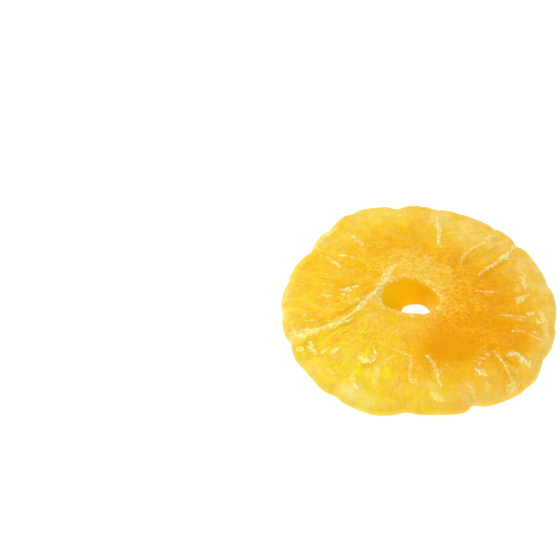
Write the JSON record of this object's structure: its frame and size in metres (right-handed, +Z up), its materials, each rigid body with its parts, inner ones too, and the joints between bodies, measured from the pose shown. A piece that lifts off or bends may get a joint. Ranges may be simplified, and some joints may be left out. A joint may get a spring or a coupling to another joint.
{
  "type": "dried pineapple ring",
  "caption": "Candied dried pineapple ring: a round slice with a notched, wrinkled rim and the core punched out; lies flat as food or garnish.",
  "frame": {"origin": "middle of the ring's box, on the surface that the ring lies on", "axes": "+Z up through the ring's thickness, +Y towards the far side of the picture's view, +X to its right"},
  "size_m": [0.081, 0.086, 0.0096],
  "materials": {
    "pineapple_flesh": "translucent golden candied flesh, half gloss, with grains of white sugar"
  },
  "bodies": {
    "root": {"pineapple_ring": "pineapple_flesh"}
  },
  "joints": []
}
